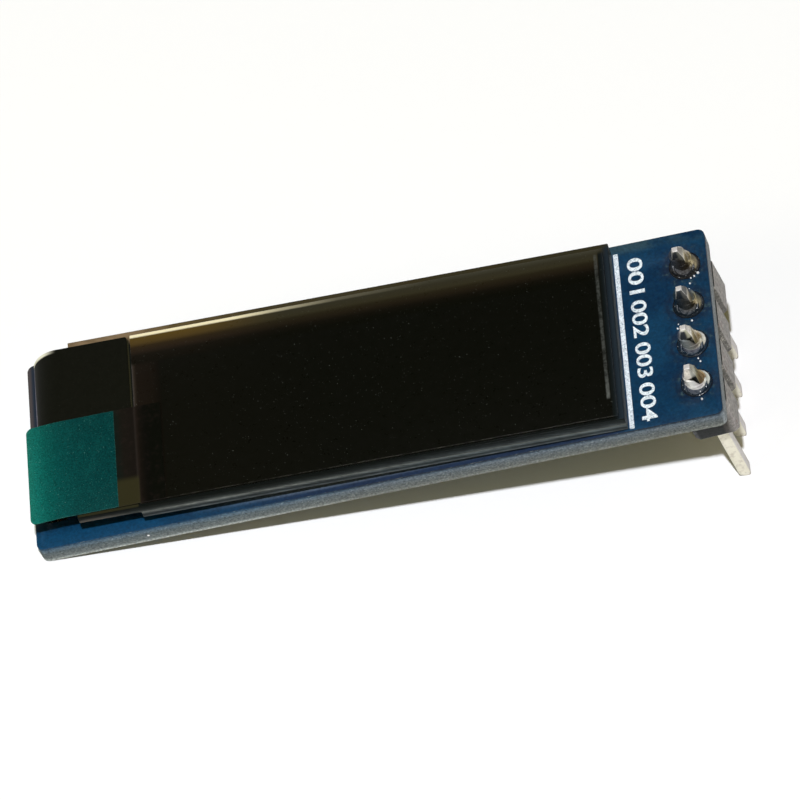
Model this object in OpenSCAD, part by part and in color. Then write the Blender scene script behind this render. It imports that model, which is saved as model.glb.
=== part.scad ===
// Small OLED display module, in millimetres.
// The board lies flat while it is built: x runs from the flex end to the header end,
// y from the front long edge to the back one, and z = 0 is the face that carries the display.
// rest_pose() then stands it on the left lower arris of the board and on the four pin tips.

/* [Board] */
// Length of the board
board_l = 38; // [37:0.5:50]
// Width of the board
board_w = 12; // [11.6:0.1:16]
// Thickness of the board
board_t = 1.2; // [0.8:0.1:1.6]
// Radius of the board's corners
board_corner = 0.4; // [0.2:0.1:1]

/* [Header] */
// Number of pins
pin_count = 4; // [4:1:4]
// Spacing of the pins
pitch = 2.54; // [2.54:0.01:2.8]
// Side of a square pin
pin_side = 0.64; // [0.5:0.02:0.7]
// Length of a pin below its housing
pin_below = 5.6; // [4:0.2:9]
// Length of a pin above the face where the housing seats
pin_above = 3; // [2.4:0.1:4]
// Side of a pin's flat tip
pin_tip = 0.3; // [0.2:0.05:0.4]
// Length of the taper at a pin's ends
pin_taper = 0.5; // [0.3:0.1:0.9]
// Height of the housing
housing_h = 2.5; // [1.5:0.1:3.5]
// Width of the housing across the row
housing_w = 2.5; // [2:0.1:3]
// Depth of the notches between the cells
notch_depth = 0.6; // [0.2:0.05:0.8]
// Half width of the notches between the cells
notch_half = 0.42; // [0.2:0.02:0.6]
// Length lost where the strip was snapped off at each end
snap_loss = 0.22; // [0:0.02:0.3]
// Distance from the row to the board's right end
row_inset = 1.2; // [1.1:0.02:2.5]
// Lean of the header away from square, in degrees
header_lean = 4; // [0:0.05:4.5]
// Diameter of the plated holes
hole_d = 1.1; // [1.06:0.02:1.2]
// Distance of the pins from the middle of their holes
pin_shift = -0.04; // [-0.06:0.01:0.04]
// Outer diameter of the annular pads
pad_d = 1.75; // [1.5:0.05:1.9]

/* [Panel] */
// Length of the substrate glass
glass_l = 30; // [24:0.5:32]
// Width of both glasses
glass_w = 11.4; // [11.2:0.1:12]
// Thickness of the substrate glass
front_glass_t = 0.53; // [0.3:0.01:0.8]
// Thickness of the encapsulation glass
rear_glass_t = 0.5; // [0.4:0.01:0.8]
// Length of the ledge that carries the chip and the flex
ledge_l = 3.4; // [3.2:0.1:5]
// Width of the seal between the glasses
seal_w = 0.9; // [0.5:0.05:1.5]
// Depth of the recess for the drying sheet
recess_depth = 0.25; // [0.15:0.01:0.35]
// Distance from the board's left end to the glass
panel_x = 2.9; // [2.9:0.1:4]
// Height of the glass over the board at its flex end
lift_left = 1.24; // [1:0.02:1.8]
// Height of the glass over the board at its other end
lift_right = 0.22; // [0.15:0.01:0.8]
// Inset of the foam strip from the glass
foam_inset = 1; // [0.5:0.1:3]

/* [Films] */
// Thickness of the polarizer
polarizer_t = 0.15; // [0.1:0.01:0.2]
// Thickness of the protective film on it
film_t = 0.05; // [0.03:0.01:0.08]
// Distance from the ledge to the polarizer
polarizer_gap = 0.1; // [0.1:0.05:1]
// Inset of the polarizer at the front
polarizer_front = 0.16; // [0:0.02:0.5]
// Inset of the polarizer at the back
polarizer_back = 0.4; // [0:0.05:0.8]
// Inset of the polarizer at the right end
polarizer_right = 0.3; // [0:0.05:1]
// Width of the pull tab
tab_w = 6.2; // [4:0.1:10]
// Length of the coloured part of the tab
tab_l = 4.95; // [3:0.05:8]
// Length of the tab's clear sticky part
tab_clear_l = 2.6; // [1.6:0.05:6]
// Length of the sticky part that lies on the film
tab_hold = 1.45; // [0.5:0.05:6]
// Radius of the tab's corners
tab_corner = 0.35; // [0.1:0.05:0.8]
// Bend of the tab's free end, in degrees
tab_curl = 5.5; // [1:0.1:8]
// Thickness of the black tape
tape_t = 0.09; // [0.05:0.01:0.12]
// Width of the black tape
tape_w = 9.3; // [9:0.1:9.6]
// How much wider the tape turns than the flex that it covers
tape_ease = 0.28; // [0.22:0.01:0.4]
// Radius of the tape's corners
tape_corner = 0.15; // [0.1:0.05:0.8]

/* [Flex] */
// Width of the flex
flex_w = 8.9; // [8.2:0.1:9]
// Distance of the flex's middle from the board's front edge
flex_mid = 6.4; // [6.2:0.1:6.6]
// Thickness of the flex
flex_t = 0.12; // [0.08:0.01:0.15]
// Length of the flex bonded under the ledge
bond_l = 1.2; // [0.8:0.1:1.4]
// Length of the flex between the glass and its bend
flex_lead = 0.83; // [0.6:0.01:1.1]
// Radius of the flex's bend beside the glass
flex_bend = 1.1; // [0.9:0.01:1.15]
// Radius of the flex's bend under the board
under_bend = 0.25; // [0.2:0.01:0.4]
// Slant of the flex in the slot, in degrees
slot_slant = 20; // [10:0.5:25]
// Length of the flex along the board's underside
tail_l = 3.3; // [2.5:0.1:5]
// Distance from the board's left end to the slot
slot_x = 0.6; // [0.4:0.05:0.7]
// Width of the slot
slot_w = 1.25; // [1.1:0.05:2]
// Radius of the slot's corners
slot_corner = 0.25; // [0.2:0.05:0.5]
// Number of lands for the flex
land_count = 14; // [8:1:14]
// Spacing of the lands
land_pitch = 0.62; // [0.5:0.01:0.62]

/* [Chip parts] */
// Length of a chip capacitor or resistor
chip_l = 1.6; // [1:0.1:2]
// Width of a chip capacitor or resistor
chip_w = 0.8; // [0.5:0.05:1]
// Height of a chip capacitor
capacitor_h = 0.8; // [0.4:0.05:1]
// Height of a chip resistor
resistor_h = 0.45; // [0.3:0.05:0.6]
// Length of a chip part's metal ends
chip_end = 0.3; // [0.2:0.02:0.4]
// Spacing of the chip parts across the board
chip_pitch = 2; // [1.6:0.1:2.4]
// Length of the regulator's body
regulator_l = 2.9; // [2.6:0.1:3.1]
// Width of the regulator's body
regulator_w = 1.35; // [1.2:0.05:1.6]
// Height of the regulator's body
regulator_h = 1.05; // [0.8:0.05:1.2]

/* [Hidden] */
$fn = 64;
sweep_fn = 120;         // facets of the large circle that hollows a fillet

// Clearances and thin layers
fit = 0.01;             // between a part and the hole that it fills
seal_gap = 0.02;        // between the two glasses
emitter_t = 0.01;       // organic stack and its metal backing
emitter_inset = 0.25;   // its edges to the seal
sheet_inset = 0.6;      // drying sheet's edges to the seal
driver_size = [0.86, 6.8, 0.3];
driver_shift = 0.05;    // bare chip from the middle of the ledge's free part
copper_t = 0.035;       // pads and lands over the board's faces
barrel_wall = 0.05;     // plating in a hole
pad_margin = 0.04;      // solder's foot to the pad's edge
slot_side = 0.15;       // from the tape's edges to the slot's ends
flex_gap = 0.06;        // flex to the board's underside
land_l = 1.8;           // lands of its tail
land_share = 0.55;      // their width in their pitch
blob_share = 0.62;      // radius of the solder on one, in its width
tape_gap = 0.03;        // tape to the flex beside it
tape_inset = 0.1;       // tape's edge to the ledge's end
tape_end_gap = 0.55;    // tape's end to the flex's turn under the board
tab_gap = 0.01;         // tab to the tape below it
tab_overlap = 0.05;     // tab's edge past the polarizer's
tab_t = 0.05;           // tab and its clear part
droop_bend = 3;         // bend of the tab at the film's edge
curl_bend = 6;          // bend of the tab's free end
sheet_gap = 0.1;        // drying sheet to the recess's mouth
stand_off = 0.1;        // regulator's body to the board
draft = 0.12;           // taper of its sides
lead_t = 0.15;          // its leads
lead_w = 0.4;
lead_knee = 0.15;
lead_l = 0.58;
lead_pitch = 0.95;
chip_waist = 0.02;      // a chip part's body inside its metal ends
fillet_reach = 0.3;     // solder at a chip part's ends
arc_step = 3;           // turn of a strip's bend from one facet to the next
over = 1;               // how far a cutter reaches past what it cuts

// Panel: its frame has its origin at the lower front corner of the flex end
function hundredths(angle) = round(angle * 100) / 100;
panel_tilt = hundredths(asin((lift_left - lift_right) / glass_l));
front_z = rear_glass_t + seal_gap;
top_z = front_z + front_glass_t;
film_z = top_z + polarizer_t;
polarizer_x = ledge_l + polarizer_gap;

// A strip that runs straight and bends by turns: each step is [run, inner radius, angle],
// and a positive angle bends it down, away from the side that its thickness grows to.
// strip_side() follows the face at a given height in the strip, arc by arc,
// and strip_end() is where the lower face ends, with the heading there
function up(heading) = [sin(heading), cos(heading)];
function along(heading) = [cos(heading), -sin(heading)];
function strip_side(steps, height, i = 0, at = [0, 0], heading = 0) =
    i == len(steps) ? [at + height * up(heading)] :
    let(
        run_end = at + steps[i][0] * along(heading),
        radius = steps[i][1],
        angle = steps[i][2],
        centre = run_end - radius * up(heading),
        parts = ceil(abs(angle) / arc_step)
    )
    concat(
        i == 0 ? [at + height * up(heading)] : [],
        parts == 0 ? [] : [
            for (k = [0 : parts])
                centre + (radius + height) * up(heading + angle * k / parts)
        ],
        strip_side(steps, height, i + 1, centre + radius * up(heading + angle), heading + angle)
    );
function strip_end(steps, i = 0, at = [0, 0], heading = 0) =
    i == len(steps) ? [at[0], at[1], heading] :
    let(
        centre = at + steps[i][0] * along(heading) - steps[i][1] * up(heading),
        turned = heading + steps[i][2]
    )
    strip_end(steps, i + 1, centre + steps[i][1] * up(turned), turned);
function reversed(points) = [for (k = [len(points) - 1 : -1 : 0]) points[k]];

// Where a point of a strip lies over the board, and where a point over the board lies at rest
function over_board(u, w) = [
    panel_x + u * cos(panel_tilt) + w * sin(panel_tilt),
    lift_left - u * sin(panel_tilt) + w * cos(panel_tilt)
];
function at_rest(p) = [
    p[0] * cos(rest_angle) - (p[1] + board_t) * sin(rest_angle),
    p[0] * sin(rest_angle) + (p[1] + board_t) * cos(rest_angle)
];

// Flex: it turns down beside the glass, runs slanted through the slot and turns under the board
turn = 90 + panel_tilt + slot_slant;
flex_y = flex_mid - flex_w / 2;
flex_z = front_z - flex_t;
tail_z = -board_t - flex_gap;
bend_end = let(end = strip_end([[flex_lead, flex_bend, turn]])) over_board(-end[0], flex_z + end[1]);
slot_run = (bend_end[1] - under_bend * (1 - sin(slot_slant)) - tail_z) / cos(slot_slant);
tail_x = bend_end[0] + slot_run * sin(slot_slant) + under_bend * cos(slot_slant);

// Tape: it turns as far as the flex does, and lies on the flex's outer side in the slot
tape_bend = flex_bend + flex_t + tape_gap + tape_ease;
tape_y = flex_mid - tape_w / 2;
tape_rise = top_z - flex_z;
tape_lead = flex_lead + (flex_bend + flex_t + tape_gap - tape_bend
    - (tape_rise + flex_bend - tape_bend) * cos(turn)) / sin(turn);
tape_run = slot_run - tape_end_gap;
slot_y = tape_y - slot_side;
slot_l = tape_w + 2 * slot_side;

// Pull tab: it leaves the film, comes down to the tape where that turns, and curls on
tab_z = film_z + film_t;
tab_y = polarizer_front - tab_overlap;
tab_start = polarizer_x + tab_hold;
tab_clear_free = tab_clear_l - tab_hold;
tab_droop = hundredths(atan((tab_z - top_z - tape_t - tab_gap) / (polarizer_x + tape_lead)));
droop_l = droop_bend * tab_droop * PI / 180;
curl_l = curl_bend * tab_curl * PI / 180;
tab_flat = polarizer_x + tape_lead - tab_clear_free;
tab_steps = [
    [tab_flat, curl_bend, tab_curl],
    [tab_l - tab_flat - curl_l, 0, 0]
];
tab_bow = tab_l - strip_end(tab_steps)[0];      // length that the curl takes off its reach
clear_steps = [
    [tab_hold, droop_bend, tab_droop],
    [tab_clear_free - droop_l, 0, 0]
];
tab_tip = let(end = strip_end(concat(clear_steps, tab_steps)))
    over_board(tab_start - end[0] - tab_t * sin(end[2]), tab_z + end[1] + tab_t * cos(end[2]));

// Header: the row stands across the board's right end, and its housing leans on the pads' outer edges
row_x = board_l - row_inset;
hole_x = row_x + pin_shift;
row_y = board_w / 2 + (pin_count - 1) * pitch / 2;
seat_drop = copper_t + (pin_shift + pad_d / 2) * tan(header_lean);

// Solder joints, one row each: height of the fillet, height of the rim, radius of the rim,
// height of the pot's floor over the board, and how far the solder climbs the pin
joint_shapes = [
    [0.75, 0.62, 0.54, 0.25, 1.15],
    [0.70, 0.58, 0.55, 0.15, 1.10],
    [0.50, 0.50, 0.56, -0.25, 0.95],
    [0.42, 0.46, 0.57, -0.50, 0.85]
];
rim_t = 0.09;           // thickness of a rim's rounded edge
rim_tilt = 24;          // rims are higher at the back
pot_shift = [0.16, -0.04];
pot_taper = 0.2;
coat_r = [0.57, 0.48];  // solder on a pin at its foot and where it ends
coat_z = board_t + seat_drop + copper_t + fit + coat_r[0] * tan(header_lean);

// Chip parts on the underside: x and the places across the board that each row fills
part_front = 2.4;
capacitor_rows = [[8.6, [0, 1, 2, 3]], [11.6, [0, 3]]];
resistor_rows = [[14.6, [0, 1, 2, 3]], [17.6, [0, 1]]];
regulator_at = [22, 6.6];

// Rest: the tips' inner lower edges and the board's left lower arris touch the table
tip_reach = pin_below + housing_h;
tip_near = [
    row_x + tip_reach * sin(header_lean) - pin_tip / 2 * cos(header_lean),
    -board_t - seat_drop - tip_reach * cos(header_lean) - pin_tip / 2 * sin(header_lean)
];
shoulder = tip_near + (pin_tip + pin_side) / 2 * [cos(header_lean), sin(header_lean)]
    + pin_taper * [-sin(header_lean), cos(header_lean)];
rest_angle = hundredths(atan(-(tip_near[1] + board_t) / tip_near[0]));

// Middle of the box that the resting module fills, which is the origin
rest_x = (at_rest(tab_tip)[0] + at_rest(shoulder)[0]) / 2;

module rest_pose() {
    translate([-rest_x, -board_w / 2, 0]) rotate([0, -rest_angle, 0])
        translate([0, 0, board_t]) children();
}

module rounded_plate(length, width, thick, radius) {
    linear_extrude(thick) rounded_rectangle(length, width, radius);
}

module rounded_rectangle(length, width, radius) {
    difference() {
        square([length, width]);
        for (x = [0, 1], y = [0, 1])
            translate([x * length, y * width]) mirror([x, 0]) mirror([0, y])
                difference() {
                    translate([-over, -over]) square(radius + over);
                    translate([radius, radius]) circle(radius);
                }
    }
}

// The solid of a strip, which starts at the origin and heads along x
module ribbon(width, thick, steps) {
    translate([0, width, 0]) rotate([90, 0, 0]) linear_extrude(width)
        polygon(concat(strip_side(steps, 0), reversed(strip_side(steps, thick))));
}

// Frame of the panel, and the frame of a strip that leaves it towards the board's left end
module panel_frame() {
    translate([panel_x, 0, lift_left]) rotate([0, panel_tilt, 0]) children();
}

module leaving(x, y, z, width) {
    panel_frame() translate([x, y + width, z]) rotate([0, 0, 180]) children();
}

// Frame of the header: z = 0 is the face that seats on the board, and the row runs along y
module header_frame() {
    translate([row_x, 0, -board_t - seat_drop]) rotate([0, -header_lean, 0]) children();
}

module at_pin(i) {
    translate([0, row_y - i * pitch, 0]) children();
}

module circuit_board() {
    rest_pose() color("#1b4a7a") difference() {
        translate([0, 0, -board_t])
            rounded_plate(board_l, board_w, board_t, board_corner);
        translate([slot_x, slot_y, -board_t - over])
            rounded_plate(slot_w, slot_l, board_t + 2 * over, slot_corner);
        for (i = [0 : pin_count - 1])
            translate([hole_x, 0, -board_t - over]) at_pin(i)
                cylinder(d = hole_d + 2 * (barrel_wall + fit), h = board_t + 2 * over);
    }
}

module hole_plating() {
    rest_pose() color("#c9c2b0") for (i = [0 : pin_count - 1])
        translate([hole_x, 0, 0]) at_pin(i) difference() {
            union() {
                translate([0, 0, -board_t])
                    cylinder(d = hole_d + 2 * barrel_wall, h = board_t);
                cylinder(d = pad_d, h = copper_t);
                translate([0, 0, -board_t - copper_t]) cylinder(d = pad_d, h = copper_t);
            }
            translate([0, 0, -board_t - over])
                cylinder(d = hole_d, h = board_t + 2 * over);
        }
}

// One cell of the housing in plan, with the chamfers that make the notches
module housing_cell() {
    half_x = housing_w / 2;
    half_y = pitch / 2;
    polygon([
        [-half_x, -half_y + notch_half], [-half_x + notch_depth, -half_y],
        [half_x - notch_depth, -half_y], [half_x, -half_y + notch_half],
        [half_x, half_y - notch_half], [half_x - notch_depth, half_y],
        [-half_x + notch_depth, half_y], [-half_x, half_y - notch_half]
    ]);
}

module header_housing() {
    row_l = pin_count * pitch - 2 * snap_loss;
    rest_pose() color("#2a2d2c") header_frame() translate([0, 0, -housing_h])
        linear_extrude(housing_h) difference() {
            intersection() {
                union() for (i = [0 : pin_count - 1]) at_pin(i) housing_cell();
                translate([-housing_w, board_w / 2 - row_l / 2])
                    square([2 * housing_w, row_l]);
            }
            for (i = [0 : pin_count - 1]) at_pin(i)
                square(pin_side + 2 * fit, center = true);
        }
}

module pin_profile() {
    bottom = -housing_h - pin_below;
    half = pin_side / 2;
    tip = pin_tip / 2;
    polygon([
        [-tip, bottom], [tip, bottom], [half, bottom + pin_taper],
        [half, pin_above - pin_taper], [tip, pin_above], [-tip, pin_above],
        [-half, pin_above - pin_taper], [-half, bottom + pin_taper]
    ]);
}

module pin(i) {
    color("#d8cfae") header_frame() at_pin(i) intersection() {
        rotate([90, 0, 0]) linear_extrude(pin_side, center = true) pin_profile();
        rotate([90, 0, 90]) linear_extrude(pin_side, center = true) pin_profile();
    }
}

module pin_1() { rest_pose() pin(0); }
module pin_2() { rest_pose() pin(1); }
module pin_3() { rest_pose() pin(2); }
module pin_4() { rest_pose() pin(3); }

// A hand-made joint: a hollow fillet on the pad, a rim round a pot beside the pin,
// solder that climbs the pin, and the solder that ran into the hole
module solder_joint(i) {
    fillet_h = joint_shapes[i][0];
    rim_h = joint_shapes[i][1];
    rim_r = joint_shapes[i][2];
    pot_floor = joint_shapes[i][3];
    coat_h = joint_shapes[i][4];
    foot_r = pad_d / 2 - pad_margin;
    sweep_r = (pow(foot_r - rim_r, 2) + pow(fillet_h, 2)) / (2 * (foot_r - rim_r));
    color("#8d8a80") difference() {
        union() {
            translate([hole_x, 0, copper_t]) at_pin(i) rotate_extrude() difference() {
                square([foot_r, fillet_h]);
                translate([rim_r + sweep_r, fillet_h]) circle(sweep_r, $fn = sweep_fn);
            }
            translate([hole_x, 0, 0]) at_pin(i) intersection() {
                translate([0, 0, rim_h - over]) rotate([rim_tilt, 0, 0]) rotate_extrude() {
                    square([rim_r, over]);
                    translate([rim_r, over]) circle(rim_t);
                }
                translate([0, 0, 2 * copper_t]) cylinder(r = foot_r, h = 2 * over);
            }
            translate([hole_x, 0, -board_t]) at_pin(i)
                cylinder(d = hole_d - 2 * fit, h = board_t + 3 * copper_t);
            header_frame() at_pin(i) translate([0, 0, coat_z])
                cylinder(r1 = coat_r[0], r2 = coat_r[1], h = coat_h);
        }
        translate([hole_x + pot_shift[0], pot_shift[1], pot_floor]) at_pin(i)
            cylinder(r1 = rim_r - rim_t - pot_taper, r2 = rim_r, h = 2 * over - pot_floor);
        header_frame() at_pin(i) translate([0, 0, over])
            cube([pin_side + 2 * fit, pin_side + 2 * fit, 4 * pin_above], center = true);
    }
}

module solder_joint_1() { rest_pose() solder_joint(0); }
module solder_joint_2() { rest_pose() solder_joint(1); }
module solder_joint_3() { rest_pose() solder_joint(2); }
module solder_joint_4() { rest_pose() solder_joint(3); }

module front_glass() {
    rest_pose() color("#22303a") panel_frame() translate([0, 0, front_z])
        cube([glass_l, glass_w, front_glass_t]);
}

module rear_glass() {
    rest_pose() color("#2b3840") panel_frame() difference() {
        translate([ledge_l, 0, 0]) cube([glass_l - ledge_l, glass_w, rear_glass_t]);
        translate([ledge_l + seal_w, seal_w, rear_glass_t - recess_depth])
            rounded_plate(glass_l - ledge_l - 2 * seal_w, glass_w - 2 * seal_w,
                recess_depth + over, seal_w / 2);
    }
}

module edge_seal() {
    rest_pose() color("#5d6a5a") panel_frame() translate([ledge_l, 0, rear_glass_t])
        difference() {
            cube([glass_l - ledge_l, glass_w, seal_gap]);
            translate([seal_w, seal_w, -over])
                rounded_plate(glass_l - ledge_l - 2 * seal_w, glass_w - 2 * seal_w,
                    seal_gap + 2 * over, seal_w / 2);
        }
}

module emitting_layer() {
    margin = seal_w + emitter_inset;
    rest_pose() color("#141618") panel_frame()
        translate([ledge_l + margin, margin, front_z - emitter_t])
            cube([glass_l - ledge_l - 2 * margin, glass_w - 2 * margin, emitter_t]);
}

module drying_sheet() {
    margin = seal_w + sheet_inset;
    rest_pose() color("#e8e6df") panel_frame()
        translate([ledge_l + margin, margin, rear_glass_t - recess_depth])
            rounded_plate(glass_l - ledge_l - 2 * margin, glass_w - 2 * margin,
                recess_depth - sheet_gap, seal_w / 2);
}

module polarizer() {
    rest_pose() color("#101214") panel_frame() translate([polarizer_x, polarizer_front, top_z])
        cube([glass_l - polarizer_x - polarizer_right,
            glass_w - polarizer_front - polarizer_back, polarizer_t]);
}

module protective_film() {
    rest_pose() color("#1c2022") panel_frame() translate([polarizer_x, polarizer_front, film_z])
        cube([glass_l - polarizer_x - polarizer_right,
            glass_w - polarizer_front - polarizer_back, film_t]);
}

// The peel strip: its clear part sticks to the film, and the coloured part carries on from it
module tab_adhesive() {
    rest_pose() color("#3a3a30", 0.5) leaving(tab_start, tab_y, tab_z, tab_w)
        ribbon(tab_w, tab_t, clear_steps);
}

module pull_tab() {
    start = strip_end(clear_steps);
    rest_pose() color("#0f7a68") leaving(tab_start, tab_y, tab_z, tab_w)
        translate([start[0], 0, start[1]]) rotate([0, start[2], 0]) intersection() {
            ribbon(tab_w, tab_t, tab_steps);
            translate([-2 * tab_corner, 0, -tab_l])
                rounded_plate(tab_l + 2 * tab_corner - tab_bow, tab_w, 2 * tab_l, tab_corner);
        }
}

module driver_chip() {
    rest_pose() color("#5b5f66") panel_frame()
        translate([(ledge_l + bond_l) / 2 - driver_size[0] / 2 + driver_shift,
            (glass_w - driver_size[1]) / 2, front_z - driver_size[2]])
            cube(driver_size);
}

module light_shield_tape() {
    start = ledge_l - tape_inset;
    steps = [[start + tape_lead, tape_bend, turn], [tape_run, 0, 0]];
    reach = start + tape_lead + tape_bend + tape_t;
    rest_pose() color("#15150f") leaving(start, tape_y, top_z, tape_w) intersection() {
        ribbon(tape_w, tape_t, steps);
        translate([0, 0, -2 * reach])
            rounded_plate(reach + over, tape_w, 3 * reach, tape_corner);
    }
}

module flex() {
    rest_pose() color("#a5691f") leaving(bond_l, flex_y, flex_z, flex_w)
        ribbon(flex_w, flex_t, [
            [bond_l + flex_lead, flex_bend, turn],
            [slot_run, under_bend, 90 - slot_slant],
            [tail_l, 0, 0]
        ]);
}

// The foam strip fills the wedge between the board and the tilted glass
module panel_adhesive() {
    first = ledge_l + foam_inset;
    last = glass_l - foam_inset;
    rest_pose() color("#4a4f50") translate([0, glass_w - foam_inset, 0]) rotate([90, 0, 0])
        linear_extrude(glass_w - 2 * foam_inset) polygon([
            [panel_x + first * cos(panel_tilt), 0],
            [panel_x + last * cos(panel_tilt), 0],
            [panel_x + last * cos(panel_tilt), lift_left - last * sin(panel_tilt)],
            [panel_x + first * cos(panel_tilt), lift_left - first * sin(panel_tilt)]
        ]);
}

// Lands and joints where the flex's tail is soldered to the board's underside
land_w = land_pitch * land_share;
land_x = tail_x + tail_l - land_l / 2;
land_y = flex_mid - (land_count - 1) * land_pitch / 2;

module flex_lands() {
    rest_pose() color("#b87333") for (i = [0 : land_count - 1])
        translate([land_x, land_y + i * land_pitch - land_w / 2, -board_t - copper_t])
            cube([land_l, land_w, copper_t]);
}

module flex_solder() {
    blob_r = land_w * blob_share;
    rest_pose() color("#9a978f") for (i = [0 : land_count - 1])
        translate([0, land_y + i * land_pitch, 0]) difference() {
            translate([land_x, 0, tail_z - flex_t]) {
                translate([blob_r, 0, 0]) sphere(blob_r);
                rotate([0, 90, 0]) translate([0, 0, blob_r])
                    cylinder(r = blob_r, h = land_l - 2 * blob_r);
                translate([land_l - blob_r, 0, 0]) sphere(blob_r);
            }
            translate([tail_x - over, -blob_r - over, tail_z - flex_t - fit])
                cube([tail_l + over + fit, 2 * (blob_r + over), flex_t + fit + over]);
            translate([0, -over, -board_t - copper_t - fit])
                cube([board_l, 2 * over, board_t]);
        }
}

// Chip parts hang under the board; their frame has z = 0 on the underside, growing away
module underside(x, y) {
    translate([x, y, -board_t]) rotate([180, 0, 0]) children();
}

module chip_bodies(rows, height) {
    for (row = rows, k = row[1])
        underside(row[0], part_front + k * chip_pitch)
            translate([-chip_l / 2 + chip_end, -chip_w / 2 + chip_waist, copper_t + chip_waist])
                cube([chip_l - 2 * chip_end, chip_w - 2 * chip_waist, height - 2 * chip_waist]);
}

module chip_ends(rows, height) {
    for (row = rows, k = row[1], side = [0, 1])
        underside(row[0], part_front + k * chip_pitch) mirror([side, 0, 0])
            translate([chip_l / 2 - chip_end, -chip_w / 2, copper_t])
                cube([chip_end, chip_w, height]);
}

// The land under a chip part's end, with the hollow fillet that climbs the end
module chip_fillets(rows) {
    for (row = rows, k = row[1], side = [0, 1])
        underside(row[0], part_front + k * chip_pitch) mirror([side, 0, 0])
            translate([chip_l / 2, chip_w / 2, 0]) rotate([90, 0, 0])
                linear_extrude(chip_w) {
                    translate([-chip_end, 0]) square([chip_end + fillet_reach, copper_t]);
                    difference() {
                        square([fillet_reach, copper_t + fillet_reach]);
                        translate([fillet_reach, copper_t + fillet_reach])
                            circle(fillet_reach);
                    }
                }
}

module capacitor_bodies() {
    rest_pose() color("#b39a74") chip_bodies(capacitor_rows, capacitor_h);
}

module capacitor_ends() {
    rest_pose() color("#c8c6c0") chip_ends(capacitor_rows, capacitor_h);
}

module resistor_bodies() {
    rest_pose() color("#1d1d1f") chip_bodies(resistor_rows, resistor_h);
}

module resistor_ends() {
    rest_pose() color("#c8c6c0") chip_ends(resistor_rows, resistor_h);
}

module component_solder() {
    rest_pose() color("#9a978f") {
        chip_fillets(capacitor_rows);
        chip_fillets(resistor_rows);
    }
}

module regulator_body() {
    rest_pose() color("#1b1b1d") underside(regulator_at[0], regulator_at[1])
        translate([0, 0, stand_off]) intersection() {
            rotate([90, 0, 0]) linear_extrude(2 * regulator_w, center = true)
                drafted_profile(regulator_l, regulator_h);
            rotate([90, 0, 90]) linear_extrude(2 * regulator_l, center = true)
                drafted_profile(regulator_w, regulator_h);
        }
}

// Moulded body in section: a belt as high as a lead is thick, with drafted sides over and under it
module drafted_profile(size, height) {
    half = size / 2;
    low = (height - lead_t) / 2;
    high = (height + lead_t) / 2;
    polygon([
        [-half + draft, 0], [half - draft, 0], [half, low], [half, high],
        [half - draft, height], [-half + draft, height], [-half, high], [-half, low]
    ]);
}

// A gull-wing lead in section, from the body's belt down to its foot
module regulator_lead() {
    root = regulator_w / 2;
    knee = root + lead_knee;
    low = stand_off + (regulator_h - lead_t) / 2;
    rotate([90, 0, 90]) linear_extrude(lead_w, center = true) polygon([
        [root, low], [knee, low], [knee, copper_t], [root + lead_l, copper_t],
        [root + lead_l, copper_t + lead_t], [knee + lead_t, copper_t + lead_t],
        [knee + lead_t, low + lead_t], [root, low + lead_t]
    ]);
}

module regulator_leads() {
    rest_pose() color("#c8c6c0") underside(regulator_at[0], regulator_at[1]) {
        for (x = [-lead_pitch, lead_pitch]) translate([x, 0, 0]) regulator_lead();
        mirror([0, 1, 0]) regulator_lead();
    }
}

circuit_board();
hole_plating();
header_housing();
pin_1();
pin_2();
pin_3();
pin_4();
solder_joint_1();
solder_joint_2();
solder_joint_3();
solder_joint_4();
front_glass();
rear_glass();
edge_seal();
emitting_layer();
drying_sheet();
polarizer();
protective_film();
pull_tab();
tab_adhesive();
driver_chip();
light_shield_tape();
flex();
panel_adhesive();
flex_lands();
flex_solder();
regulator_body();
regulator_leads();
capacitor_bodies();
capacitor_ends();
resistor_bodies();
resistor_ends();
component_solder();
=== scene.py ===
# %% [markdown]
# # A small screen module that stands on its header pins
#
# The real thing is a blue circuit board with a black glass screen on foam above it, and a row of
# four square pins soldered through its right end. It lies on a table with the pins below, so the
# right end stands up and the left end touches the table.
#
# The shapes come from the packed CAD model, the frame. This lesson gives each part its finish,
# rounds the edges that catch light, and adds what is printed on the board or spattered over it.

# %% Load the frame
import math
import bpy
from mathutils import Matrix, Vector


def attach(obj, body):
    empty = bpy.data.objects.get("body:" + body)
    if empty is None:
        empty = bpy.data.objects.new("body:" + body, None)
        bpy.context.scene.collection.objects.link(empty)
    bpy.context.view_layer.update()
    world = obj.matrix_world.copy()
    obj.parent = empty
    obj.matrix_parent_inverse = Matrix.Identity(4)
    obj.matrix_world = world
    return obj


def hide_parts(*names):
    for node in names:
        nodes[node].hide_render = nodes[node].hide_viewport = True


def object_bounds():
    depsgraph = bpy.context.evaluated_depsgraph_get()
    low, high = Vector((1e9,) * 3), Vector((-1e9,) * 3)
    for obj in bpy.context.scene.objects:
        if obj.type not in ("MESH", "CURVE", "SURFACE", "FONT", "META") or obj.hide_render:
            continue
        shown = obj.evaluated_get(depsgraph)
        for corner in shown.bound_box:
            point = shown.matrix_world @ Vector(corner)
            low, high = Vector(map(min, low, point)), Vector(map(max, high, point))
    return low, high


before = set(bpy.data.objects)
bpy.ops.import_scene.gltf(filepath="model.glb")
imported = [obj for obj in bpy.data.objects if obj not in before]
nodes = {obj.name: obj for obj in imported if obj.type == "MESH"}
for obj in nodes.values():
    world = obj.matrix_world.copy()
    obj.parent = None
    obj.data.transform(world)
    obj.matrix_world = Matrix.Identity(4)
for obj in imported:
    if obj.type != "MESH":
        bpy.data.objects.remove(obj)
cad_low, cad_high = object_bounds()
mm = 0.001
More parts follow.
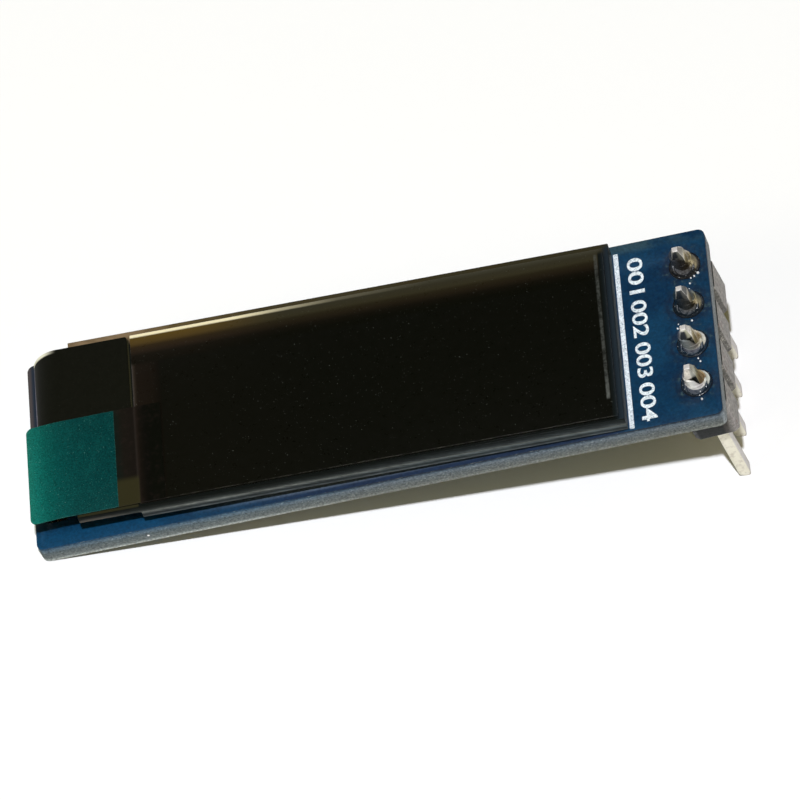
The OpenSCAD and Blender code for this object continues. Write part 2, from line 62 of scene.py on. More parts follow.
print(len(nodes), "nodes, size in mm:", [round(side / mm, 2) for side in cad_high - cad_low])

# %% [markdown]
# ## Where the board and the glass lie
#
# The board leans and the screen leans back on it, so flat work on either is easiest in its own
# millimetres: u along it from the left end, v across it from the front edge, w up from its face.
# The largest upward facet of a node gives that face, and a matrix takes flat work to its place.

# %% Measure the two leaning faces
touching = 0.002 * mm


def face_matrix(name):
    """The matrix from (u, v, w) in millimetres on a node's top face to its place."""
    mesh = nodes[name].data
    facet = max(mesh.polygons, key=lambda polygon: polygon.area * polygon.normal.z)
    out = facet.normal.normalized()
    along = Vector((out.z, 0, -out.x)).normalized()
    level = out.dot(mesh.vertices[facet.vertices[0]].co)
    on_face = [v.co for v in mesh.vertices if abs(out.dot(v.co) - level) < touching]
    corner = along * min(along.dot(p) for p in on_face) + out * level
    corner.y = min(p.y for p in on_face)
    axes = Matrix((along, (0, 1, 0), out)).transposed().to_4x4()
    return Matrix.Translation(corner) @ axes @ Matrix.Scale(mm, 4)


def lean_of(face):
    """The angle of a face's length over the table."""
    return math.atan2(face[2][0], face[0][0])


board_face = face_matrix("circuit_board")
glass_face = face_matrix("front_glass")
for title, face in (("board", board_face), ("glass", glass_face)):
    print(title, "leans by", round(math.degrees(lean_of(face)), 2), "degrees")

# %% [markdown]
# The pins stand square to the strip that holds them, which itself leans a little on the board.
# So their place along the board is taken from the plated holes, and only their place across it
# from the pins themselves.

# %% Find the pins on the board
header_lean = math.radians(4)


def box_on(face, name):
    """The lowest and highest corners of a node, in millimetres on one of the leaning faces."""
    points = [face.inverted() @ v.co for v in nodes[name].data.vertices]
    return [Vector([limit(p[i] for p in points) for i in range(3)]) for limit in (min, max)]


def centre_on(face, name):
    """The middle of a node, in millimetres on one of the leaning faces."""
    low, high = box_on(face, name)
    return (low + high) / 2


pin_centres = [centre_on(board_face, f"pin_{i}") for i in (1, 2, 3, 4)]
hole_u = centre_on(board_face, "hole_plating").x
hole_v = pin_centres[-1].y
pin_step = (pin_centres[0].y - hole_v) / (len(pin_centres) - 1)
print("pins at", [round(centre.y, 2) for centre in pin_centres], "mm from the front edge")

# %% [markdown]
# ## Camera
#
# The camera looks down at the front of the module from a little above and to the left of its
# middle. A long lens from half a metre keeps the sides of the board nearly parallel, as they are
# in a close-up of something this small.

# %% Place the camera
middle = (cad_low + cad_high) / 2
middle.z = 0
from_middle = Vector((-1.47, -278.53, 415.97)) * mm
camera_turn = (33.997, 2.286, -3.862)
lens_data = bpy.data.cameras.new("close_up_lens")
lens_data.lens = 415
lens_data.sensor_width = 36
lens_data.clip_start, lens_data.clip_end = 0.02, 20
camera = bpy.data.objects.new("close_up", lens_data)
camera.location = middle + from_middle
camera.rotation_euler = [math.radians(turn) for turn in camera_turn]
bpy.context.scene.collection.objects.link(camera)
bpy.context.scene.camera = camera
bpy.context.scene.view_settings.view_transform = "Standard"
print("camera at", [round(x, 4) for x in camera.location])

# %% [markdown]
# ## One way to write node materials
#
# Every finish below is a node material. Dragging wires by hand is slow to read back, so a few
# small classes stand for the node editor. A Link is one socket, and sums on it add the nodes that
# work them out. Nodes is a node tree, and its node method adds any other node: first its settings,
# because they can change the sockets that it has, and then the values or links of its sockets.
# A finish is then built up as it is in the workshop, in coats laid over each other.
#
# Tones are written as three numbers from 0 to 255, as a screen shows them. A shader takes linear
# light instead, so they are converted on the way in.

# %% Colours
def linear(value):
    """One 0 to 255 screen value as linear light."""
    value /= 255
    return value / 12.92 if value <= 0.04045 else ((value + 0.055) / 1.055) ** 2.4


def colour(tone):
    """A tone of three screen values in linear light. A link or a linear colour stays as it is."""
    if isinstance(tone, Link) or len(tone) == 4:
        return tone
    return (*[linear(value) for value in tone], 1.0)


print("half grey in linear light:", round(linear(128), 4))

# %% Links
class Link:
    """One output of a node, to be used in sums."""

    def __init__(self, maker, socket):
        self.maker, self.socket = maker, socket

    def sum(self, operation, first, second=None):
        """The node that works a sum out, one kind for numbers and one for colours and vectors."""
        single = self.socket.type == "VALUE"
        kind = "ShaderNodeMath" if single else "ShaderNodeVectorMath"
        values = [first] if second is None else [first, second]
        if not single:
            values = [(v,) * 3 if isinstance(v, (int, float)) else v for v in values]
        return self.maker.node(kind, {"operation": operation}, dict(enumerate(values)))

    def __add__(self, other):
        return self.sum("ADD", self, other)

    def __radd__(self, other):
        return self.sum("ADD", other, self)

    def __sub__(self, other):
        return self.sum("SUBTRACT", self, other)

    def __rsub__(self, other):
        return self.sum("SUBTRACT", other, self)

    def __mul__(self, other):
        return self.sum("MULTIPLY", self, other)

    def __rmul__(self, other):
        return self.sum("MULTIPLY", other, self)

    def __truediv__(self, other):
        return self.sum("DIVIDE", self, other)

    def __rtruediv__(self, other):
        return self.sum("DIVIDE", other, self)

    def __abs__(self):
        return self.sum("ABSOLUTE", self)

    def root(self):
        return self.sum("SQRT", self)

    def whole(self):
        return self.sum("ROUND", self)

    def at_least(self, low):
        return self.sum("MAXIMUM", self, low)

    def at_most(self, high):
        return self.sum("MINIMUM", self, high)

    def folded(self, width):
        """Rises from 0 to width and falls back to 0, over and over."""
        return self.sum("PINGPONG", self, width)

    def dot(self, other):
        """The dot product of two vectors, 1 where two directions are the same."""
        return self.maker.node("ShaderNodeVectorMath", {"operation": "DOT_PRODUCT"},
                               {0: self, 1: other}, "Value")

    def parts(self):
        """Links to the three numbers of a vector."""
        split = self.maker.node("ShaderNodeSeparateXYZ", None, {0: self})
        return [Link(self.maker, socket) for socket in split.socket.node.outputs]

    def step(self, start, end):
        """0 below start and 1 above end, with a soft change between. Start may be the higher."""
        return self.maker.node("ShaderNodeMapRange", {"interpolation_type": "SMOOTHSTEP"},
                               {0: self, 1: start, 2: end, 3: 0.0, 4: 1.0})

    def band(self, place, outer, inner):
        """1 within inner of a place and 0 further from it than outer."""
        return abs(self - place).step(outer, inner)

    def mix(self, first, second):
        """The first tone where this is 0 and the second where it is 1."""
        tones = {0: self, 6: colour(first), 7: colour(second)}
        return self.maker.node("ShaderNodeMix", {"data_type": "RGBA"}, tones, 2)

    def follow(self, stops):
        """A colour that follows this value: stops are (value, linear colour), in order."""
        low, high = stops[0][0], stops[-1][0]
        share = self.maker.node("ShaderNodeMapRange", None, {0: self, 1: low, 2: high})
        stops = [((place - low) / (high - low), tone) for place, tone in stops]
        return self.maker.node("ShaderNodeValToRGB", {"stops": stops}, {0: share})

    def scale(self, *stops):
        """A tone that follows this value: stops are (value, red, green, blue), in order."""
        return self.follow([(place, colour(tone)) for place, *tone in stops])

    def ramp(self, *stops):
        """A number that follows this value: stops are (value, number), in order."""
        return self.follow([(place, (n, n, n, 1)) for place, n in stops])

    def gloss(self, low, high):
        """A roughness that goes from low to high with a soft random grey."""
        return self.ramp((0.3, low), (0.7, high))

    def grained(self, depth, grain, detail=3.0, rough=0.7, stretch=(1, 1, 1), seed=0.0):
        """A tone made lighter and darker by up to depth, in grains about grain millimetres wide."""
        grey = self.maker.noise(grain, detail, rough, stretch, seed)
        return self * self.maker.node("ShaderNodeMapRange", None, {
            0: grey, 1: 0.3, 2: 0.7, 3: 1 - depth, 4: 1 + depth})


def layered(tone, *coats):
    """A tone under coats, each (how much of it, its tone), from the lowest to the top one."""
    for share, coat in coats:
        tone = share.mix(tone, coat)
    return tone


print("board blue in linear light:", [round(c, 4) for c in colour((24, 60, 98))])

# %% Node trees
class Nodes:
    """A node tree, written step by step towards its last node."""

    def __init__(self, tree, last):
        self.tree, self.last = tree, tree.nodes[last]

    def put(self, node, values):
        """Gives sockets of a node, by name or place, their values or links."""
        for socket, value in values.items():
            if isinstance(value, Link):
                self.tree.links.new(value.socket, node.inputs[socket])
            else:
                node.inputs[socket].default_value = value

    def node(self, kind, settings=None, values=None, output=0):
        """Adds any node and gives a link to one of its outputs."""
        made = self.tree.nodes.new(kind)
        for setting, value in (settings or {}).items():
            if setting == "stops":
                while len(made.color_ramp.elements) < len(value):
                    made.color_ramp.elements.new(1)
                for stop, (place, tone) in zip(made.color_ramp.elements, value):
                    stop.position, stop.color = place, tone
            else:
                setattr(made, setting, value)
        self.put(made, values or {})
        return Link(self, made.outputs[output])

    def feed(self, **links):
        """Base_Color=link feeds the last node's Base Color."""
        self.put(self.last, {name.replace("_", " "): link for name, link in links.items()})


print("a node tree can", ", ".join(name for name in vars(Nodes) if name[0] != "_"))

# %% [markdown]
# A Finish is the node tree of one material. It adds what real finishes are made of: a place on
# one of the leaning faces, soft noise, cells, the way that the surface faces, worn edges and
# relief. All of them read the place in the object, so a pattern lies still whichever way one looks.

# %% Finishes
class Finish(Nodes):
    """A node material."""

    def __init__(self, name, settings):
        self.material = bpy.data.materials.new(name)
        self.material.use_nodes = True
        super().__init__(self.material.node_tree, "Principled BSDF")
        self.put(self.last, settings)

    def places(self):
        """Object coordinates, in metres."""
        return self.node("ShaderNodeTexCoord", output="Object")

    def on_face(self, face):
        """Links to u, v and w in millimetres on one of the leaning faces."""
        back = face.inverted()
        flat = self.node("ShaderNodeMapping", {"vector_type": "POINT"}, {
            0: self.places(), 1: back.to_translation(), 2: (0, -lean_of(back), 0),
            3: (1 / mm,) * 3})
        return flat.parts()

    def noise(self, grain, detail=2.0, rough=0.5, stretch=(1, 1, 1), seed=0.0):
        """Soft random grey, from 0 to 1, whose patches are about grain millimetres wide."""
        place = self.node("ShaderNodeMapping", None, {
            0: self.places(), 1: (seed, seed / 2, seed / 3), 3: stretch})
        return self.node("ShaderNodeTexNoise", {"noise_dimensions": "3D"}, {
            "Vector": place, "Scale": 1 / (grain * mm), "Detail": detail, "Roughness": rough})

    def cells(self, grain):
        """Distance to the nearest of many scattered points, grain millimetres apart."""
        return self.node("ShaderNodeTexVoronoi", None, {
            "Vector": self.places(), "Scale": 1 / (grain * mm), "Randomness": 1.0})

    def normal(self):
        return self.node("ShaderNodeNewGeometry", output="Normal")

    def facing(self, direction):
        """1 where the surface faces a direction and 0 where it lies along it."""
        return self.normal().dot(tuple(direction))

    def wear(self, reach):
        """1 on edges, fading out over reach millimetres."""
        rounded = self.node("ShaderNodeBevel", {"samples": 6}, {"Radius": reach * mm})
        return (1 - rounded.dot(self.normal())).step(0.01, 0.12)

    def bump(self, height, depth, strength=1.0):
        """Relief whose height goes from 0 to depth millimetres."""
        self.feed(Normal=self.node("ShaderNodeBump", None, {
            "Strength": strength, "Distance": depth * mm, "Height": height}))


to_left, to_right, to_front = (-1, 0, 0), (1, 0, 0), (0, -1, 0)
print("a finish can read", ", ".join(name for name in vars(Finish) if name[0] != "_"))

# %% [markdown]
# ## Table and light
#
# The module lies on a plain white table, under one small bright lamp in front and above, which
# draws a firm shadow under the raised end. A weak wide lamp at the left and the room fill the
# rest, a little greener from the left and browner from the right. The table is full white to the
# camera and a little darker to other rays, so it doesn't flood the part. What shiny parts mirror
# matters as much as the lamps: the room is white near the table and dark overhead, as it is round
# a real table-top sweep, so solder and glass show both.

# %% Lay the table
def deselect():
    bpy.ops.object.select_all(action="DESELECT")


deselect()
bpy.ops.mesh.primitive_plane_add(size=6, location=(0, 0, -0.02 * mm))
table = bpy.context.object
table.name = "table_top"
white = Finish("plain_white_table", {"Roughness": 0.9, "Specular IOR Level": 0.0,
                                     "Emission Strength": 1.0})
to_camera = white.node("ShaderNodeLightPath", output="Is Camera Ray")
grain = white.noise(0.6, 3)
paper = grain.mix((0.98, 0.98, 0.985, 1), (1.0, 1.0, 1.0, 1))
white.feed(Base_Color=to_camera.mix((0.78, 0.78, 0.78, 1), paper),
           Emission_Color=to_camera.mix((0, 0, 0, 1), (0.016, 0.016, 0.008, 1)))
white.bump(grain, 0.01, 0.3)
table.data.materials.append(white.material)
print("table of", round(table.dimensions.x), "m")

# %% Light the room
full_white = (1, 1, 1, 1)
overhead_dark = (0.05, 0.052, 0.055, 1)
from_left, from_right = (0.100, 0.118, 0.072, 1), (0.124, 0.086, 0.022, 1)

world = bpy.data.worlds.new("plain_room")
bpy.context.scene.world = world
world.use_nodes = True
room = Nodes(world.node_tree, "Background")
across, _, height = room.node("ShaderNodeTexCoord", output="Generated").parts()
fill = across.step(-0.5, 0.5).mix(from_left, from_right)
sweep = height.step(0.12, 0.40).mix(full_white, overhead_dark)
to_camera, mirrored, passed = [room.node("ShaderNodeLightPath", output=kind) for kind in (
    "Is Camera Ray", "Is Glossy Ray", "Is Transmission Ray")]
filled = mirrored.at_least(passed).mix(fill, sweep)
room.feed(Color=to_camera.mix(filled, full_white))


def lamp(name, direction, size, level, tint, distance=0.8):
    """A square lamp that lights a level surface under it to about level, aimed at the middle."""
    toward = Vector(direction).normalized()
    data = bpy.data.lights.new(name, "AREA")
    data.size = size
    data.color = tint
    data.energy = level * math.pi ** 2 * distance ** 2 / toward.z
    made = bpy.data.objects.new(name, data)
    made.location = middle + toward * distance
    made.rotation_euler = toward.to_track_quat("Z", "Y").to_euler()
    bpy.context.scene.collection.objects.link(made)
    print(name, "of", round(data.energy, 2), "W")


lamp("front_lamp", (-0.04, -0.44, 1), 0.022, 0.88, (0.975, 0.99, 1.05))
lamp("side_lamp", (-1.0, -0.7, 0.9), 0.3, 0.062, (1.0, 0.92, 0.60))

# %% [markdown]
# ## Giving parts their finish, and rounding edges
#
# Nothing real has a knife edge. Scribed glass, routed board and moulded plastic all end in a
# narrow rounded arris, and that thin line of light is most of what makes a small part look solid.
# A CAD node keeps its mesh, so where an edge matters a copy stands for it: its loose triangles are
# merged, flat neighbours are dissolved into whole faces, and a Bevel modifier rounds the rest.

# %% Dress and round
sharp, smooth = math.radians(30), math.radians(40)


def dress(finish, *names):
    """Gives CAD nodes a finish."""
    for name in names:
        for place in nodes[name].material_slots:
            place.material = finish.material


def settle(piece):
    """Hangs a finished new piece on the module."""
    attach(piece, "root")


def only(piece):
    """Makes one object the selected and active one."""
    deselect()
    piece.select_set(True)
    bpy.context.view_layer.objects.active = piece


def rounded_copy(name, width, finish):
    """A copy of a CAD node with edges rounded by width millimetres, which stands for it."""
    piece = bpy.data.objects.new(name + "_rounded", nodes[name].data.copy())
    bpy.context.scene.collection.objects.link(piece)
    only(piece)
    bpy.ops.object.mode_set(mode="EDIT")
    bpy.ops.mesh.select_all(action="SELECT")
    bpy.ops.mesh.remove_doubles(threshold=0.001 * mm)
    bpy.ops.mesh.dissolve_limited(angle_limit=math.radians(0.2))
    bpy.ops.object.mode_set(mode="OBJECT")
    bevel = piece.modifiers.new("bevel", "BEVEL")
    bevel.width = width * mm
    bevel.segments = 2
    bevel.limit_method = "ANGLE"
    bevel.angle_limit = sharp
    bevel.miter_outer = "MITER_ARC"
    bpy.ops.object.modifier_apply(modifier=bevel.name)
    bpy.ops.object.shade_smooth_by_angle(angle=smooth)
    piece.material_slots[0].material = finish.material
    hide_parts(name)
    settle(piece)
    print(piece.name, len(piece.data.polygons), "faces")


# %% [markdown]
# ## The board: blue mask over glass fibre
#
# The board's two faces are glass-fibre laminate under a thin blue lacquer, the solder mask. It is
# glossy and a little uneven, and dull with flux near the pins. Light is painted into it along the
# front edge, where the glass shades it, and shade is painted beside the tape as a darker purple.
# One material does the faces and the cut sides. It begins with the blue.

# %% Distance from the pins
board_low, board_high = box_on(board_face, "circuit_board")
board_up = board_face.col[2].to_3d().normalized()


def round_the_pins(u, v):
    """The distance from the nearest pin's hole, in millimetres on the board."""
    place = ((v - hole_v) / pin_step).whole().at_least(0.0).at_most(len(pin_centres) - 1.0)
    beside, off_row = v - hole_v - place * pin_step, u - hole_u
    return (off_row * off_row + beside * beside).root()


print("board in mm:", [round(side, 2) for side in board_high - board_low])

# %% Blue mask
laminate = Finish("blue_mask_on_laminate", {"Specular IOR Level": 0.35})
u, v, w = laminate.on_face(board_face)
broad = laminate.noise(2.5, 4, 0.6)
fine = laminate.noise(0.14, 4, 0.7)
from_pin = round_the_pins(u, v)
fluxed = from_pin.step(1.7, 0.9) * laminate.noise(0.5, 4, 0.65).step(0.3, 0.6)
stained = fluxed * laminate.noise(0.3, 4, 0.7, seed=3.0).step(0.52, 0.68)
# A darker ring at the pad's edge round each pin: a small step in the mask, darkened as painted
# shade of the joints.
pad_step_and_shade = from_pin.band(1.16, 0.12, 0.04) * u.step(36.9, 36.1)
front_strip = v.step(1.3, 0.6) * u.step(9, 6)
worn_back = v.step(board_high.y - 0.8, board_high.y - 0.3) * broad.step(0.4, 0.6)
# Painted light: under the glass, along the front edge, the mask is made lighter grey-blue towards
# the glass, where the glass's shade falls.
painted_light_under_glass = u.step(7, 18) * v.step(0.95, 0.75) * u.step(33, 32)
under_glass_light_tone = v.scale((0.08, 20, 36, 62), (0.2, 30, 44, 68), (0.36, 88, 100, 116), (0.7, 140, 146, 154))
# Painted shade: at the left end beside the tape the mask is darkened to a dull purple.
shade_beside_tape = u.step(1.0, 0.8) * v.step(1.2, 2.2)
purple_shade = u.step(0.1, 0.3).mix((74, 68, 68), (36, 44, 56))
blue = layered(
    broad.step(0.35, 0.65).mix((0, 37, 68), (8, 55, 86)),
    (fine.step(0.3, 0.7) * 0.5, (14, 56, 79)),
    (fluxed * 0.75, (14, 28, 48)),
    (stained * 0.8, (64, 86, 88)),
    (pad_step_and_shade * 0.3, (8, 24, 44)),
    (front_strip * 0.7, (8, 64, 98)),
    (worn_back * 0.5, (62, 84, 84)),
    (painted_light_under_glass * 0.9, under_glass_light_tone)).grained(0.32, 0.16)
blue = shade_beside_tape.mix(blue, purple_shade)
print("blue mask in", len(laminate.tree.nodes), "nodes")

# %% [markdown]
# The cut sides show the bare laminate: grey-green resin with the layers of woven glass as streaks
# along the edge, and a wash of blue where the mask ends. Light is painted into their tone by depth:
# lighter and darker bands where the edge faces the light differently, and a pale highlight along
# the bottom arris. The weave is a noise squeezed along w, so that it comes out as layers. Which
# way the surface faces tells the sides from the blue faces.

# %% Cut sides of the laminate
layers = laminate.node("ShaderNodeCombineXYZ", None, {0: u * 0.9, 1: v * 0.9, 2: w * 5.0})
weave = laminate.node("ShaderNodeTexNoise", None, {
    "Vector": layers, "Scale": 2.4, "Detail": 6.0, "Roughness": 0.75})
# Tones by depth under the face, with painted light: a pale highlight at the bottom arris and
# lighter and darker bands above it.
greener_with_painted_light = w.scale((-1.2, 206, 213, 210), (-1.1, 172, 179, 176), (-1.0, 120, 128, 128),
                  (-0.9, 105, 113, 113), (-0.65, 92, 102, 105), (-0.5, 81, 93, 98),
                  (-0.3, 88, 107, 120), (-0.2, 76, 98, 116), (-0.13, 54, 85, 107),
                  (-0.03, 22, 55, 82))
greyer_with_painted_light = w.scale((-1.2, 132, 136, 130), (-1.1, 134, 138, 133), (-1.0, 110, 115, 112),
                 (-0.85, 95, 101, 100), (-0.65, 98, 105, 107), (-0.5, 88, 97, 102),
                 (-0.3, 101, 112, 121), (-0.2, 79, 94, 107), (-0.13, 46, 63, 79),
                 (-0.03, 12, 24, 38))
right_end = laminate.facing(to_right).step(0.45, 0.8)
grit = laminate.noise(0.11, 3, 0.7).step(0.60, 0.72) * w.step(-0.12, -0.3)
resin = layered(
    u.step(10, 20).mix(greener_with_painted_light, greyer_with_painted_light),
    (weave.step(0.54, 0.66) * 0.5, (156, 164, 160)),
    (weave.step(0.46, 0.34) * 0.5, (58, 66, 66)),
    (grit * 0.45, (186, 194, 192)),
    (right_end * w.step(0.0, -0.5) * 0.55, (176, 186, 194))).grained(0.6, 0.13, 4)
scorched = laminate.noise(0.2, 3, 0.7, seed=7.0).step(0.56, 0.64) * right_end * v.step(8.4, 9.6)
chip_u, chip_w = u - 6.05, w + 0.67
chip = (chip_u * chip_u + chip_w * chip_w).step(0.008, 0.002) * v.step(1, 0.5)
resin = layered(resin, (scorched * 0.6, (150, 92, 84)), (chip, (250, 250, 250)))

flat = abs(laminate.facing(board_up)).step(0.75, 0.95)
shine = flat * (0.9 - 0.3 * fine) * (1 - fluxed * 0.3)
laminate.feed(Base_Color=flat.mix(resin, blue), Roughness=shine.ramp((0.0, 0.8), (1.0, 0.26)))
laminate.bump(flat.mix(weave, fine * 0.10 + pad_step_and_shade * -0.2 + 0.5), 0.03, 0.7)
rounded_copy("circuit_board", 0.05, laminate)

# %% [markdown]
# ## Print on the board
#
# White ink is screened onto the mask: one line beside the glass and a label for each pin. Here
# the labels are plain numbers, turned to be read from the right end. Ink is a layer with a real
# thickness, so the line is a plane pressed up out of the face, and the numbers are text that is
# turned into a mesh, fitted to the size of its label and thickened.

# %% White ink
ink = Finish("white_screen_ink", {"Specular IOR Level": 0.3})
speckle = ink.noise(0.10, 4, 0.75)
thin = speckle.step(0.30, 0.50)
ink.feed(Base_Color=thin.mix((134, 160, 182), (230, 238, 242)).grained(0.24, 0.2),
         Roughness=speckle.gloss(0.5, 0.75))
ink.bump(speckle, 0.012, 0.7)
ink_thick = 0.02


def take_to(piece, face):
    """Applies the place of flat work made in millimetres on one of the leaning faces."""
    piece.data.transform(face)
    piece.data.update()


def print_on_board(piece):
    """Lays finished ink on the board, with its faces turned out."""
    bpy.ops.mesh.normals_make_consistent(inside=False)
    bpy.ops.object.mode_set(mode="OBJECT")
    take_to(piece, board_face)
    piece.data.materials.append(ink.material)
    settle(piece)
    print(piece.name, len(piece.data.polygons), "faces")


print("ink is", ink_thick, "mm thick")

# %% Line beside the glass
line_from, line_to = Vector((32.92, 0.12)), Vector((33.18, 11.45))
line_middle, line_size = (line_from + line_to) / 2, line_to - line_from
line_corner = 0.05

deselect()
bpy.ops.mesh.primitive_plane_add(size=1, location=(*line_middle, 0))
ink_line = bpy.context.object
ink_line.name = "printed_line"
ink_line.scale = (*line_size, 1)
bpy.ops.object.transform_apply(location=True, scale=True)
bpy.ops.object.mode_set(mode="EDIT")
bpy.ops.mesh.select_all(action="SELECT")
bpy.ops.mesh.subdivide(number_cuts=1)
bpy.ops.mesh.bevel(offset=line_corner, segments=3, affect="VERTICES")
bpy.ops.mesh.select_all(action="SELECT")
bpy.ops.mesh.dissolve_limited(angle_limit=0.01)
bpy.ops.mesh.extrude_region_move(TRANSFORM_OT_translate={"value": (0, 0, ink_thick)})
bpy.ops.mesh.select_all(action="SELECT")
print_on_board(ink_line)

# %% Pin numbers
label_low, label_high = 33.62, 34.48
label_ends = ((10.97, 8.66), (8.20, 5.82), (5.45, 3.21), (2.84, 0.40))


def printed_number(name, text, back, front):
    """A number that reads from back to front, its top towards the right end."""
    deselect()
    bpy.ops.object.text_add(location=(0, 0, 0))
    piece = bpy.context.object
    piece.name = name
    piece.data.body = text
    piece.data.offset = 0.016
    piece.data.space_character = 0.98
    piece.data.resolution_u = 4
    piece.data.extrude = 0.01
    bpy.ops.object.convert(target="MESH")
    corners = [v.co for v in piece.data.vertices]
    low = Vector([min(c[i] for c in corners) for i in range(3)])
    size = Vector([max(c[i] for c in corners) for i in range(3)]) - low
    fit = Matrix.Diagonal(((back - front) / size.x, (label_high - label_low) / size.y,
                           ink_thick / size.z, 1)) @ Matrix.Translation(-low)
    turn = Matrix(((0, 1, 0, label_low), (-1, 0, 0, back), (0, 0, 1, 0), (0, 0, 0, 1)))
    piece.data.transform(turn @ fit)
    bpy.ops.object.mode_set(mode="EDIT")
    bpy.ops.mesh.select_all(action="SELECT")
    bpy.ops.mesh.remove_doubles(threshold=0.0005)
    print_on_board(piece)


for i, (back, front) in enumerate(label_ends, 1):
    printed_number(f"pin_number_{i}", f"00{i}", back, front)

# %% [markdown]
# ## The screen glass
#
# Two panes make the screen. The front pane is longer at the left end, where its bare ledge
# carries the driver chip and fine metal tracks, which give it an olive-brown look. Behind the
# polarizing sheet a strip of the pane stays bare, with a reflection painted on it, brassy at the
# left and darker to the right.

# %% Top faces of the glass
glass_up = glass_face.col[2].to_3d().normalized()
glass_long = box_on(glass_face, "front_glass")[1].x
ledge_long = box_on(glass_face, "rear_glass")[0].x
track_width = 0.06

glass = Finish("screen_glass", {"Specular IOR Level": 0.05})
u, v, w = glass.on_face(glass_face)
cloud = glass.noise(0.35, 4, 0.65, stretch=(0.35, 1, 1))
# Painted reflection on the bare strip behind the sheet: brassy at the left, darker to the right.
brass_reflection = u.scale((3, 138, 117, 90), (6, 96, 82, 54), (11, 66, 60, 42), (20, 56, 52, 36),
                (29, 50, 48, 34))
brass_reflection = (cloud.step(0.4, 0.7) * 0.4).mix(brass_reflection, (60, 48, 24))
right_rim = u.step(glass_long - 0.5, glass_long - 0.1) * v.step(11.5, 11.0)
rim = layered((17, 20, 18), (v.step(10.5, 11.0), brass_reflection), (right_rim, (34, 43, 50)))
tracks = v.folded(track_width).step(track_width / 3, track_width * 2 / 3)
ledge = layered((48, 46, 30), (tracks * 0.5, (32, 31, 20)), (v.step(10.8, 11.05), brass_reflection))
face_tone = u.step(ledge_long + 0.02, ledge_long - 0.04).mix(rim, ledge)
print("glass", round(glass_long, 2), "mm long, with a ledge of", round(ledge_long, 2), "mm")

# %% [markdown]
# The sides of the panes are ground. They are black near the sheet, with a soft grey highlight
# painted where each pane ends, so their tone goes by w, the depth under the glass. Grinding leaves
# marks along the edge, made by noises stretched that way.

# %% Ground sides of the glass
# Tones by depth w: black near the sheet, with painted highlights where each pane ends.
left_ground_and_highlights = w.scale((-1.02, 90, 98, 102), (-0.96, 81, 90, 94), (-0.88, 44, 50, 52),
                      (-0.80, 40, 46, 48), (-0.70, 70, 76, 76), (-0.60, 108, 112, 110),
                      (-0.54, 112, 116, 112), (-0.47, 76, 81, 79), (-0.37, 47, 53, 50),
                      (-0.28, 27, 33, 30), (-0.17, 18, 24, 20), (-0.02, 10, 15, 10))
right_ground_and_highlights = w.scale((-1.02, 96, 104, 108), (-0.95, 75, 84, 88), (-0.86, 42, 49, 52),
                       (-0.78, 50, 58, 60), (-0.68, 82, 90, 92), (-0.60, 94, 102, 104),
                       (-0.52, 66, 72, 74), (-0.46, 72, 79, 80), (-0.37, 53, 59, 60),
                       (-0.25, 39, 45, 46), (-0.12, 28, 34, 33), (-0.02, 16, 22, 22))
ground_and_highlights = u.step(10, 22).mix(left_ground_and_highlights, right_ground_and_highlights)
ground_and_highlights = ground_and_highlights.grained(0.55, 0.07, 3, 0.6, (0.06, 1, 1))
ground_and_highlights = ground_and_highlights.grained(0.3, 0.14, 3, 0.65, (0.35, 1, 1), 2.0)
ground_and_highlights = ground_and_highlights.grained(0.3, 1.2, 2, 0.5, (0.3, 1, 1), 5.0) * 0.72
end_tone = v.scale((0, 72, 78, 86), (2.4, 66, 74, 82), (3.4, 52, 63, 72), (6, 46, 55, 60))
under_ledge = u.step(3.2, 1.2) * w.step(-0.2, -0.45)
flecks = glass.noise(0.13, 4, 0.75, stretch=(0.4, 1, 1)).step(0.66, 0.74)
ground_and_highlights = layered(ground_and_highlights, (glass.facing(to_right).step(0.5, 0.8) * 0.75, end_tone),
                 (under_ledge * 0.5, (96, 88, 80)), (flecks * 0.3, (120, 122, 118)))

top = glass.facing(glass_up).step(0.8, 0.95)
glass.feed(Base_Color=top.mix(ground_and_highlights, face_tone), Roughness=top.ramp((0.0, 0.5), (1.0, 0.16)))
glass.bump(cloud * (1 - top), 0.02, 0.4)
for name in ("front_glass", "rear_glass"):
    rounded_copy(name, 0.035, glass)

# %% [markdown]
# ## Polarizing sheet and its protective film
#
# The sheet is black from almost every side, brown near its left end and along its back edge,
# where the picture area stops and tracks show through. Its back edge is cut at a slant, and a
# white reflection of the room is painted there as a line that fades out along the glass. Near the
# right end a grey metal line runs across, the contact of the display's top layer. The film over it
# is clear and smooth, so the two are seen as one dark surface.

# %% Black polarizer
sheet = Finish("black_polarizer", {"Specular IOR Level": 0.08})
u, v, _ = sheet.on_face(glass_face)
mottle = sheet.noise(0.5, 5, 0.7)
dust = sheet.noise(0.08, 2, 0.5).step(0.715, 0.76)
worn = sheet.noise(0.25, 4, 0.7).step(0.35, 0.65)
# The first, lighter stop at the sheet's left edge is a painted highlight.
brown = u.scale((3.5, 66, 60, 56), (3.62, 42, 35, 28), (3.74, 26, 20, 14), (4.6, 22, 17, 11),
                (5.1, 14, 12, 7))
amber = v.scale((8.9, 14, 12, 6), (9.6, 22, 18, 11), (9.85, 38, 29, 20), (10.15, 46, 35, 19),
                (10.4, 78, 61, 29), (10.7, 86, 67, 27))
olive = v.scale((9.3, 11, 11, 5), (9.65, 18, 15, 8), (9.95, 32, 26, 16), (10.2, 38, 33, 20),
                (10.38, 50, 46, 31), (10.7, 50, 47, 34), (10.95, 62, 60, 48))
